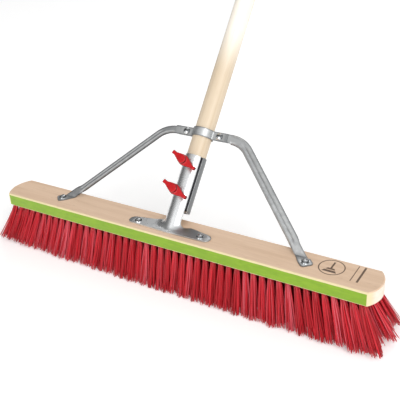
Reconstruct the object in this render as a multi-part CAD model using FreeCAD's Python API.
import FreeCAD, Part
import math
import os

from FreeCAD import Matrix, Placement, Rotation, Vector

# Push broom with a wooden block, bristle tufts in blind holes, a round stick in a steel socket and two
# steel braces from the stick to the block. Millimetres. The origin is on the floor under the middle of
# the block, X runs along the block, the sweeping face is -Y and the stick leans towards +Y.

# Block
block_length = 600.0
block_width = 52.0
block_thickness = 20.0
end_bow = 10.0  # how far the rounded ends stand out past their corners
edge_break = 1.2
bristle_length = 63.0  # from the block down to the floor
block_bottom = bristle_length
block_top = block_bottom + block_thickness

# Tufts
row_offsets = [-21.0, -10.5, 0.0, 10.5, 21.0]
tufts_in_long_row = 48
tuft_pitch = 12.0
hole_radius = 3.05
hole_depth = 10.5
peg_radius = 3.0
tuft_root = 6.0  # width of a tuft where it leaves the block
tip_depth = 8.0  # depth of a row at the floor
row_splay = 13.5  # how far the outer rows lean out at the floor
end_splay = 28.0  # how far the last tufts lean out at the floor
splay_power = 1.8
notch_share = 0.12  # the gap between two tufts closes this share of the way up from the floor
anchor_thickness = 0.4
anchor_width = 6.8
anchor_height = 1.6
anchor_cover = 2.5  # from the bottom of the anchor to the mouth of the hole

# Stick
stick_radius = 14.0
stick_length = 1400.0
stick_lean = 40.0  # degrees from upright
stick_offset = 8.5  # where the stick's axis meets the top of the block, measured along Y
stick_foot = 21.0  # lower end of the stick, measured along its axis from the top of the block
stick_clearance = 0.3
stick_top_rounding = 10.0
stick_foot_chamfer = 1.5

# Socket
socket_top = 100.0
socket_wall = 1.25
neck_top = 19.0  # below this only the front of the rolled tube goes on down to the plate
slit_width = 4.0
slit_angle = 63.0  # from the front of the tube towards +X
neck_left_edge = 263.0  # where the front of the tube ends on the other side, below the neck
nut_hole_gap = 0.2
plate_half_length = 66.0
plate_front = -16.0
plate_rear = 7.0
plate_shoulder = 26.0  # the rear edge is straight this far to each side
plate_end_radius = 8.0
plate_end_y = -7.0
plate_thickness = 2.0
skirt_height = 9.0
skirt_flare = 7.5
skirt_sink = 0.6  # the top of the skirt ends this far inside the tube's wall
plate_screw_x = 51.0
plate_screw_y = -8.0

# Wing screws
screw_heights = {"upper": 86.0, "lower": 44.0}
knob_turns = {"upper": -24.5, "lower": -21.8}
stud_radius = 2.95
nut_bore = 3.0
nut_side = 10.0
nut_top = 20.0
knob_base = 22.0
hub_top = 36.0
hub_radius = 7.6
wing_reach = 22.7
wing_end_radius = 3.3
wing_base = 25.0
wing_top = 34.0
stud_end = 33.0
stud_tip_gap = 0.3
stud_chamfer = 0.6
hub_taper = 1.2
knob_rounding = 1.5
bore_end_gap = 0.1

# Braces
clamp_height = 134.5
strip_width = 12.5
strip_thickness = 1.5
channel_depth = 4.0
clamp_bolt_x = 27.0
strip_end_x = 39.5
channel_start_x = 42.0
bend_radius = 40.0
brace_angle = 46.0  # below the horizontal, in the stick's plane
foot_screw_x = 200.0
foot_half_width = 8.4  # the end of the strip is spread to a rounded square round its screw
foot_corner = 3.0
foot_shoulder = 2.5  # how far before the screw the foot is full width
band_fillet = 2.5
channel_stop = 14.0  # the channel is pressed flat below this height
channel_lip = 1.5  # thickness of the channel's two edges
channel_overhang = 0.5  # how far they stand out past the strip
channel_overlap = 3.0  # how far the channel runs into the straight top of the strip

# Fasteners
bolt_radius = 2.5
bolt_head_radius = 5.0
bolt_head_height = 3.0
washer_radius = 5.6
washer_thickness = 1.0
nut_across_flats = 8.0
nut_thickness = 4.0
wood_screw_radius = 2.2
wood_screw_head = 5.0
wood_screw_head_height = 3.2
wood_screw_depth = 9.0  # how far the shank goes into the block
screw_hole_radius = 2.8
screw_point = 3.0
screw_point_radius = 0.3
shank_gap = 0.3  # between a wood screw's shank and its washer
bolt_gap = 0.1  # between a bolt and its hole
bolt_end = 1.5  # how far a bolt stands out of its nut
recess_width = 1.1
recess_depth = 1.6
recess_length = 5.0
recess_turn = 20.0

X_AXIS = Vector(1, 0, 0)
Y_AXIS = Vector(0, 1, 0)
Z_AXIS = Vector(0, 0, 1)
FRONT = Vector(0, -1, 0)

os.makedirs("parts", exist_ok=True)


def save(name, shapes):
    """Writes one node: a single solid, or a group of separate ones."""
    shape = shapes[0] if len(shapes) == 1 else Part.makeCompound(shapes)
    bad = [s for s in shape.Solids if not s.isValid()]
    print(f"{name}: {len(shape.Solids)} solids, {shape.Volume / 1000:.2f} cm3, {len(bad)} bad")
    shape.exportStep(f"parts/{name}.step")


def along_stick(shape):
    """Moves a shape from the stick's own frame, with Z along the stick and -Y in front, into place."""
    lean = Rotation(X_AXIS, -stick_lean)
    moved = shape.copy()
    moved.Placement = Placement(Vector(0, stick_offset, block_top), lean).multiply(moved.Placement)
    return moved


def prism(points, depth):
    """A straight prism over a flat outline given as a list of points."""
    return Part.Face(Part.makePolygon(points + points[:1])).extrude(depth)


def on_circle(centre, radius, degrees):
    """A point on a circle in a flat drawing, with the angle counted from the first axis."""
    turn = math.radians(degrees)
    return (centre[0] + radius * math.cos(turn), centre[1] + radius * math.sin(turn))


def arc_between(place, centre, radius, start, stop):
    """An arc in a drawing; place turns a drawing's two numbers into a point."""
    middle = (start + stop) / 2
    ends = [place(*on_circle(centre, radius, a)) for a in (start, middle, stop)]
    return Part.Arc(*ends).toShape()


# Block -----------------------------------------------------------------------------------------------


def block_outline(inset):
    """The block's plan: straight long sides, and ends that are shallow arcs."""
    half_width = block_width / 2 - inset
    corner = block_length / 2 - end_bow - inset
    apex = block_length / 2 - inset
    signs = ((-1, -1), (1, -1), (1, 1), (-1, 1))
    corners = [Vector(along * corner, across * half_width, 0) for along, across in signs]
    edges = [
        Part.makeLine(corners[0], corners[1]),
        Part.Arc(corners[1], Vector(apex, 0, 0), corners[2]).toShape(),
        Part.makeLine(corners[2], corners[3]),
        Part.Arc(corners[3], Vector(-apex, 0, 0), corners[0]).toShape(),
    ]
    return Part.Wire(edges)


def tuft_places():
    """The tufts of each row, as the X of every hole; every second row is set half a pitch over."""
    places = []
    for row, y in enumerate(row_offsets):
        count = tufts_in_long_row - row % 2
        first = -(count - 1) * tuft_pitch / 2
        places.append((y, [first + i * tuft_pitch for i in range(count)]))
    return places


def tuft_anchors():
    """A flat wire anchor across each hole, which pins the folded tuft to the wood."""
    anchors = []
    for y, xs in tuft_places():
        for x in xs:
            corner = Vector(x - anchor_thickness / 2, y - anchor_width / 2, block_bottom + anchor_cover)
            anchors.append(Part.makeBox(anchor_thickness, anchor_width, anchor_height, corner))
    return anchors


def wood_screw_places():
    """The points on the top of the block where the four wood screws go in."""
    plate = [Vector(side * plate_screw_x, plate_screw_y, block_top) for side in (-1, 1)]
    feet = [Vector(side * foot_screw_x, 0, block_top) for side in (-1, 1)]
    return plate, feet


def block():
    body = Part.Face(block_outline(0)).extrude(Z_AXIS * block_thickness)
    body.translate(Z_AXIS * block_bottom)
    body = body.makeChamfer(edge_break, [e for e in body.Edges if is_level(e)])
    holes = []
    for y, xs in tuft_places():
        holes += [Part.makeCylinder(hole_radius, hole_depth, Vector(x, y, block_bottom)) for x in xs]
    plate, feet = wood_screw_places()
    for place in plate + feet:
        holes.append(Part.makeCylinder(wood_screw_radius, wood_screw_depth, place, -Z_AXIS))
    return body.cut(Part.makeCompound(holes + tuft_anchors()))


def is_level(edge):
    """True for an edge that lies in one horizontal plane."""
    return abs(edge.BoundBox.ZLength) < 1e-6


# Bristles --------------------------------------------------------------------------------------------


def tip_x(x):
    """Where a tuft that leaves the block at x meets the floor."""
    reach = tufts_in_long_row * tuft_pitch / 2
    return x + math.copysign(end_splay * (abs(x) / reach) ** splay_power, x)


def comb_profile(xs, y):
    """A row seen from the front: tufts that are apart at the block and meet near the floor."""
    tips = [tip_x(x) for x in xs]
    meeting = [(a + b) / 2 for a, b in zip(tips, tips[1:])]
    half = tuft_root / 2
    spread = (tips[1] - tips[0]) / 2
    points = [(tips[0] - spread, 0.0), (tips[-1] + spread, 0.0), (xs[-1] + half, block_bottom)]
    for i in reversed(range(1, len(xs))):
        gap_middle = (xs[i] + xs[i - 1]) / 2
        notch_foot = meeting[i - 1] + (gap_middle - meeting[i - 1]) * notch_share
        points += [
            (xs[i] - half, block_bottom),
            (notch_foot, block_bottom * notch_share),
            (xs[i - 1] + half, block_bottom),
        ]
    points.append((xs[0] - half, block_bottom))
    return [Vector(x, -block_width * 2, z) for x, z in points]


def bristle_row(y, xs):
    """One row of tufts as a comb, with the folded root of each tuft as a peg in its hole."""
    comb = prism(comb_profile(xs, y), Y_AXIS * block_width * 4)
    lean = row_splay * y / max(row_offsets)
    half_root, half_tip = tuft_root / 2, tip_depth / 2
    side = [
        (y + lean - half_tip, 0.0),
        (y + lean + half_tip, 0.0),
        (y + half_root, block_bottom),
        (y - half_root, block_bottom),
    ]
    outline = [Vector(-block_length, v, z) for v, z in side]
    row = comb.common(prism(outline, X_AXIS * block_length * 2))
    pegs = [Part.makeCylinder(peg_radius, hole_depth, Vector(x, y, block_bottom)) for x in xs]
    return row.fuse(pegs).cut(Part.makeCompound(tuft_anchors())).Solids[0]


# Stick -----------------------------------------------------------------------------------------------


def stick():
    rod = Part.makeCylinder(stick_radius, stick_length, Z_AXIS * stick_foot)
    rims = [e for e in rod.Edges if isinstance(e.Curve, Part.Circle)]
    top = [e for e in rims if e.BoundBox.ZMin > stick_foot + 1]
    foot = [e for e in rims if e.BoundBox.ZMin < stick_foot + 1]
    return along_stick(rod.makeFillet(stick_top_rounding, top).makeChamfer(stick_foot_chamfer, foot))


# Socket ----------------------------------------------------------------------------------------------

socket_inner = stick_radius + stick_clearance
socket_outer = socket_inner + socket_wall


def tube_at(degrees, radius, height):
    """A point on the tube, with the angle counted from the front towards +X."""
    turn = math.radians(degrees)
    return Vector(radius * math.sin(turn), -radius * math.cos(turn), height)


def wedge(start, stop, low, high):
    """A wedge of space round the stick's axis between two angles, to cut the tube with."""
    reach = 60.0
    steps = max(2, round((stop - start) / 30))
    rim = [tube_at(start + (stop - start) * i / steps, reach, low) for i in range(steps + 1)]
    return prism([Vector(0, 0, low)] + rim, Z_AXIS * (high - low))


def rolled_tube():
    """The rolled sleeve: slit along its length, and open at the back below the neck."""
    low = -30.0
    tall = socket_top - low
    shell = Part.makeCylinder(socket_outer, tall, Z_AXIS * low)
    shell = shell.cut(Part.makeCylinder(socket_inner, tall, Z_AXIS * low))
    slit = Part.makeBox(30, slit_width, socket_top, Vector(0, -slit_width / 2, 0))
    slit.rotate(Vector(0, 0, 0), Z_AXIS, slit_angle - 90)
    half_slit = math.degrees(slit_width / 2 / socket_outer)
    back = wedge(slit_angle - half_slit, neck_left_edge, low, neck_top)
    shell = shell.cut([slit, back])
    for height in screw_heights.values():
        shell = shell.cut(Part.makeCylinder(nut_bore + nut_hole_gap, 30, Z_AXIS * height, FRONT))
    return along_stick(shell)


def base_plate():
    """The leaf-shaped plate: widest in the middle, round at both ends, slightly bowed in front."""
    tip_centre = plate_half_length - plate_end_radius
    right = [
        Vector(tip_centre, plate_end_y - plate_end_radius, 0),
        Vector(plate_half_length, plate_end_y, 0),
        Vector(tip_centre, plate_end_y + plate_end_radius, 0),
    ]
    left = [Vector(-p.x, p.y, 0) for p in right]
    shoulders = [Vector(s * plate_shoulder, plate_rear, 0) for s in (1, -1)]
    edges = [
        Part.Arc(left[0], Vector(0, plate_front, 0), right[0]).toShape(),
        Part.Arc(*right).toShape(),
        Part.makeLine(right[2], shoulders[0]),
        Part.makeLine(*shoulders),
        Part.makeLine(shoulders[1], left[2]),
        Part.Arc(left[2], left[1], left[0]).toShape(),
    ]
    plate = Part.Face(Part.Wire(edges)).extrude(Z_AXIS * plate_thickness)
    plate.translate(Z_AXIS * block_top)
    plate_screws, _ = wood_screw_places()
    holes = [Part.makeCylinder(screw_hole_radius, 10, place - Z_AXIS) for place in plate_screws]
    return plate.cut(holes)


def oval(half_x, half_y, centre):
    """A closed smooth curve through points of an ellipse; either half-axis may be the longer one."""
    turns = [math.radians(22.5 * i) for i in range(16)]
    points = [centre + Vector(half_x * math.cos(a), half_y * math.sin(a), 0) for a in turns]
    curve = Part.BSplineCurve()
    curve.interpolate(points, PeriodicFlag=True)
    return Part.Wire([curve.toShape()])


def neck_skirt():
    """The flare that joins the front of the tube to the plate: wide at the plate, none at its top."""
    lean = math.radians(stick_lean)
    rings = []
    steps = 3
    for step in range(steps + 1):
        rise = plate_thickness + skirt_height * step / steps
        flare = skirt_flare * (1 - step / steps) ** 2 - skirt_sink
        centre = Vector(0, stick_offset + rise * math.tan(lean), block_top + rise)
        half_y = socket_outer / math.cos(lean) + flare * (0.3 if flare > 0 else 1)
        rings.append(oval(socket_outer + flare, half_y, centre))
    skirt = Part.makeLoft(rings, True, False)
    front = Part.makeBox(120, 80, 40, Vector(-60, plate_rear - 80, block_top))
    bore = along_stick(Part.makeCylinder(socket_inner, 80, Z_AXIS * -40))
    return skirt.common(front).cut(bore)


def stick_socket():
    above = Part.makeBox(300, 300, 300, Vector(-150, -150, block_top))
    tube = rolled_tube().common(above)
    whole = tube.fuse([base_plate(), neck_skirt()])
    passage = along_stick(Part.makeCylinder(socket_inner, 90, Z_AXIS * (neck_top - 60)))
    return whole.cut(passage.common(above)).removeSplitter()


# Wing screws -----------------------------------------------------------------------------------------


def socket_nut(height):
    """A square nut welded to the front of the tube, hollowed to sit on it."""
    depth = nut_top - stick_radius
    corner = Vector(-nut_side / 2, -nut_top, height - nut_side / 2)
    nut = Part.makeBox(nut_side, depth, nut_side, corner)
    nut = nut.cut(Part.makeCylinder(socket_outer, 40, Z_AXIS * (height - 20)))
    return along_stick(nut.cut(Part.makeCylinder(nut_bore, 40, Z_AXIS * height, FRONT)))


def wing_stud(height):
    tip = stick_radius + stud_tip_gap
    rod = Part.makeCylinder(stud_radius, stud_end - tip, Vector(0, -tip, height), FRONT)
    rims = [e for e in rod.Edges if isinstance(e.Curve, Part.Circle)]
    return along_stick(rod.makeChamfer(stud_chamfer, rims))


def flat_point(u, v):
    return Vector(u, v, 0)


def flat_line(start, stop):
    return Part.makeLine(flat_point(*start), flat_point(*stop))


def wing_outline():
    """The knob seen from above: a round hub with a wing on each side that narrows to a round end."""
    reach = wing_reach - wing_end_radius
    slope = math.degrees(math.asin((hub_radius - wing_end_radius) / reach))
    hub = (0, 0)
    edges = []
    for turn in (0, 180):
        near_tip = on_circle(hub, reach, turn)
        far_tip = on_circle(hub, reach, turn + 180)
        start, stop = turn - 90 + slope, turn + 90 - slope
        leaving = stop + 2 * slope
        edges.append(arc_between(flat_point, near_tip, wing_end_radius, start, stop))
        edges.append(flat_line(on_circle(near_tip, wing_end_radius, stop), on_circle(hub, hub_radius, stop)))
        edges.append(arc_between(flat_point, hub, hub_radius, stop, leaving))
        onward = on_circle(far_tip, wing_end_radius, leaving)
        edges.append(flat_line(on_circle(hub, hub_radius, leaving), onward))
    return Part.Wire(Part.__sortEdges__(edges))


def wing_knob(height, turn):
    wings = Part.Face(wing_outline()).extrude(Z_AXIS * (wing_top - wing_base))
    wings.translate(Z_AXIS * wing_base)
    wings = wings.makeFillet(knob_rounding, [e for e in wings.Edges if is_level(e)])
    hub = Part.makeCone(hub_radius - hub_taper, hub_radius, hub_top - knob_base, Z_AXIS * knob_base)
    rims = [e for e in hub.Edges if isinstance(e.Curve, Part.Circle)]
    hub = hub.makeFillet(knob_rounding, [e for e in rims if e.BoundBox.ZMin > wing_top])
    bore = Part.makeCylinder(nut_bore, stud_end + bore_end_gap - knob_base, Z_AXIS * knob_base)
    knob = wings.fuse(hub).cut(bore).removeSplitter()
    knob.rotate(Vector(0, 0, 0), Z_AXIS, turn)
    knob.rotate(Vector(0, 0, 0), X_AXIS, 90)
    knob.translate(Z_AXIS * height)
    return along_stick(knob)


# Braces ----------------------------------------------------------------------------------------------


def half_band(side):
    """The top of a brace: a strip wrapped half round the stick, with an ear at each end.

    side is 1 for the strip in front of the stick and -1 for the one behind it.
    """
    thick = strip_thickness
    inner = socket_inner
    middle = inner + thick / 2
    across = math.sqrt((middle + band_fillet) ** 2 - (thick / 2 + band_fillet) ** 2)
    slope = math.degrees(math.asin((thick / 2 + band_fillet) / (middle + band_fillet)))

    def place(u, v):
        return Vector(u, -side * v, 0)

    def edge_line(level):
        """One face of the strip, from the far right to the far left."""
        corner = band_fillet - (level - thick / 2)
        fillet = (across, thick / 2 + band_fillet)
        mirrored = (-across, thick / 2 + band_fillet)
        return [
            Part.makeLine(place(strip_end_x, level), place(across, level)),
            arc_between(place, fillet, corner, 270, 180 + slope),
            arc_between(place, (0, 0), inner + level, slope, 180 - slope),
            arc_between(place, mirrored, corner, 360 - slope, 270),
            Part.makeLine(place(-across, level), place(-strip_end_x, level)),
        ]

    ends = [Part.makeLine(place(s * strip_end_x, 0), place(s * strip_end_x, thick)) for s in (1, -1)]
    wire = Part.Wire(Part.__sortEdges__(edge_line(thick) + edge_line(0.0) + ends))
    strip = Part.Face(wire).extrude(Z_AXIS * strip_width)
    strip.translate(Z_AXIS * (clamp_height - strip_width / 2))
    return strip


def brace_line(side):
    """The brace's centreline in the stick's plane: where it starts and stops bending, and its fold.

    The fold is where the middle of the strip's thickness meets the middle of the foot's thickness.
    """
    lean = math.radians(stick_lean)
    mid = side * strip_thickness / 2
    fold_s = (strip_thickness / 2 - mid * math.sin(lean)) / math.cos(lean)
    fold_y = stick_offset + fold_s * math.sin(lean) - mid * math.cos(lean)
    drop = math.radians(brace_angle)
    fold_x = foot_screw_x - fold_y / math.tan(drop)
    bend_end_s = clamp_height - bend_radius * (1 - math.cos(drop))
    bend_end_x = fold_x - (bend_end_s - fold_s) / math.tan(drop)
    bend_start_x = bend_end_x - bend_radius * math.sin(drop)
    return {"fold_s": fold_s, "fold_x": fold_x, "fold_y": fold_y, "start": bend_start_x}


def ribbon(line, low, high, stop_s):
    """The flat shape between two lines that run beside the centreline, from the ear to a given height."""
    drop = math.radians(brace_angle)
    centre = (line["start"], clamp_height - bend_radius)

    def side_points(offset):
        radius = bend_radius + offset
        start = (channel_start_x - channel_overlap, clamp_height + offset)
        bend = [on_circle(centre, radius, a) for a in (90, 90 - brace_angle / 2, 90 - brace_angle)]
        run = (bend[2][1] - stop_s) / math.sin(drop)
        stop = (bend[2][0] + run * math.cos(drop), stop_s)
        return start, bend, stop

    def place(p):
        return Vector(p[0], 0, p[1])

    edges, ends = [], []
    for offset in (low, high):
        start, bend, stop = side_points(offset)
        edges.append(Part.makeLine(place(start), place(bend[0])))
        edges.append(Part.Arc(*[place(p) for p in bend]).toShape())
        edges.append(Part.makeLine(place(bend[2]), place(stop)))
        ends.append((place(start), place(stop)))
    edges.append(Part.makeLine(ends[0][0], ends[1][0]))
    edges.append(Part.makeLine(ends[0][1], ends[1][1]))
    return Part.Face(Part.Wire(Part.__sortEdges__(edges)))


def brace_foot(line):
    """The foot: the end of the strip bent flat onto the wood and spread wider, with a screw hole."""
    drop = math.radians(brace_angle)
    half = strip_width / 2
    along = Vector(math.cos(drop), -math.sin(drop), 0)
    across = Vector(math.sin(drop), math.cos(drop), 0)
    fold = Vector(line["fold_x"], line["fold_y"], block_top)
    skew = half / math.tan(drop)
    start = [fold + (across * half + along * skew) * s for s in (1, -1)]
    screw = Vector(foot_screw_x, 0, block_top)
    inner = foot_half_width - foot_corner
    middle = inner + foot_corner / math.sqrt(2)

    def spot(gone, aside):
        return screw + along * gone + across * aside

    def corner(s):
        ends = [spot(inner, foot_half_width * s), spot(middle, middle * s), spot(foot_half_width, inner * s)]
        return Part.Arc(*ends).toShape()

    shoulders = [spot(-foot_shoulder, foot_half_width * s) for s in (1, -1)]
    edges = [
        Part.makeLine(start[0], shoulders[0]),
        Part.makeLine(shoulders[0], spot(inner, foot_half_width)),
        corner(1),
        Part.makeLine(spot(foot_half_width, inner), spot(foot_half_width, -inner)),
        corner(-1),
        Part.makeLine(spot(inner, -foot_half_width), shoulders[1]),
        Part.makeLine(shoulders[1], start[1]),
        Part.makeLine(start[1], start[0]),
    ]
    edges = Part.__sortEdges__(edges)
    foot = Part.Face(Part.Wire(edges)).extrude(Z_AXIS * strip_thickness)
    return foot.cut(Part.makeCylinder(screw_hole_radius, 10, screw - Z_AXIS))


def brace(side):
    """One brace. side is 1 for the left one, whose strip is in front, and -1 for the right one."""
    line = brace_line(side)
    half = strip_width / 2
    thick = strip_thickness
    front = Vector(0, -thick, 0)
    web_low = 0.0 if side > 0 else thick
    web = ribbon(line, -half, half, line["fold_s"]).extrude(front)
    web.translate(Y_AXIS * web_low)
    pieces = [web]
    inside = half + channel_overhang - channel_lip
    outside = half + channel_overhang
    for low, high in ((-outside, -inside), (inside, outside)):
        flange = ribbon(line, low, high, channel_stop).extrude(Y_AXIS * channel_depth)
        flange.translate(Y_AXIS * (web_low - thick))
        pieces.append(flange)
    local = half_band(side).fuse(pieces).removeSplitter()
    bolts = [
        Part.makeCylinder(bolt_radius + bolt_gap, 20, Vector(s * clamp_bolt_x, 10, clamp_height), FRONT)
        for s in (-1, 1)
    ]
    local = local.cut(bolts)
    if side > 0:
        local = local.mirror(Vector(0, 0, 0), X_AXIS)
    placed = along_stick(local)
    foot = brace_foot(line)
    fold_half = half / math.sin(math.radians(brace_angle))
    fold_start = Vector(line["fold_x"] - fold_half, line["fold_y"], block_top + thick / 2)
    roll = Part.makeCylinder(thick / 2, 2 * fold_half, fold_start, X_AXIS)
    if side > 0:
        foot = foot.mirror(Vector(0, 0, 0), X_AXIS)
        roll = roll.mirror(Vector(0, 0, 0), X_AXIS)
    above = Part.makeBox(600, 300, 300, Vector(-300, -150, block_top))
    return placed.fuse([foot, roll]).common(above).removeSplitter()


# Fasteners -------------------------------------------------------------------------------------------


def domed_head(radius, height):
    """A round head with a domed top, standing on Z = 0."""
    ball = (radius**2 + height**2) / (2 * height) + height * 0.35
    dome = Part.makeSphere(ball, Vector(0, 0, height - ball))
    return Part.makeCylinder(radius, height * 2).common(dome)


def cross_recess(top):
    """A cross-shaped recess for a driver."""
    bars = []
    for turn in (0, 90):
        bar = Part.makeBox(recess_length, recess_width, recess_depth * 2)
        bar.translate(Vector(-recess_length / 2, -recess_width / 2, top - recess_depth))
        bar.rotate(Vector(0, 0, 0), Z_AXIS, turn + recess_turn)
        bars.append(bar)
    return bars[0].fuse(bars[1])


def wood_screw(place, seat):
    """A round-head wood screw; seat is the height of the metal and washer under its head."""
    head = domed_head(wood_screw_head, wood_screw_head_height).cut(cross_recess(wood_screw_head_height))
    head.translate(Z_AXIS * seat)
    length = seat + wood_screw_depth - screw_point
    shank = Part.makeCylinder(wood_screw_radius, length, Z_AXIS * (screw_point - wood_screw_depth))
    point = Part.makeCone(screw_point_radius, wood_screw_radius, screw_point, Z_AXIS * -wood_screw_depth)
    screw = head.fuse([shank, point]).removeSplitter()
    screw.translate(place)
    return screw


def washer(place, inner):
    ring = Part.makeCylinder(washer_radius, washer_thickness).cut(Part.makeCylinder(inner, washer_thickness))
    ring.translate(place)
    return ring


def facing(shape, x, level, direction):
    """Puts a part made along Z onto the clamp, at a distance in front of the stick's plane."""
    turned = shape.copy()
    turned.rotate(Vector(0, 0, 0), X_AXIS, 90 * direction)
    turned.translate(Vector(x, -level, clamp_height))
    return along_stick(turned)


def clamp_bolt(x):
    head = domed_head(bolt_head_radius, bolt_head_height)
    length = 2 * strip_thickness + washer_thickness + nut_thickness + bolt_end
    bolt = head.fuse(Part.makeCylinder(bolt_radius, length, Z_AXIS * -length)).removeSplitter()
    return facing(bolt, x, strip_thickness, 1)


def clamp_nut(x):
    across_corners = nut_across_flats / math.cos(math.radians(30))
    corners = [flat_point(*on_circle((0, 0), across_corners / 2, 60 * i + 30)) for i in range(6)]
    nut = prism(corners, Z_AXIS * nut_thickness).cut(Part.makeCylinder(bolt_radius, nut_thickness))
    return facing(nut, x, -strip_thickness - washer_thickness, -1)


def clamp_washer(x):
    return facing(washer(Vector(0, 0, 0), bolt_radius + bolt_gap), x, -strip_thickness, -1)


# The nodes -------------------------------------------------------------------------------------------

save("block", [block()])
for number, (row_y, row_xs) in enumerate(tuft_places(), start=1):
    save(f"bristle_row_{number}", [bristle_row(row_y, row_xs)])
save("tuft_anchors", tuft_anchors())
save("stick", [stick()])
save("stick_socket", [stick_socket()])
save("socket_nuts", [socket_nut(h) for h in screw_heights.values()])
for which, stud_height in screw_heights.items():
    save(f"wing_stud_{which}", [wing_stud(stud_height)])
    save(f"wing_knob_{which}", [wing_knob(stud_height, knob_turns[which])])
plate_points, foot_points = wood_screw_places()
save("plate_screws", [wood_screw(p, plate_thickness + washer_thickness) for p in plate_points])
washer_bore = wood_screw_radius + shank_gap
save("plate_washers", [washer(p + Z_AXIS * plate_thickness, washer_bore) for p in plate_points])
save("foot_screws", [wood_screw(p, strip_thickness + washer_thickness) for p in foot_points])
save("foot_washers", [washer(p + Z_AXIS * strip_thickness, washer_bore) for p in foot_points])
save("brace_left", [brace(1)])
save("brace_right", [brace(-1)])
save("clamp_bolts", [clamp_bolt(s * clamp_bolt_x) for s in (-1, 1)])
save("clamp_nuts", [clamp_nut(s * clamp_bolt_x) for s in (-1, 1)])
save("clamp_washers", [clamp_washer(s * clamp_bolt_x) for s in (-1, 1)])
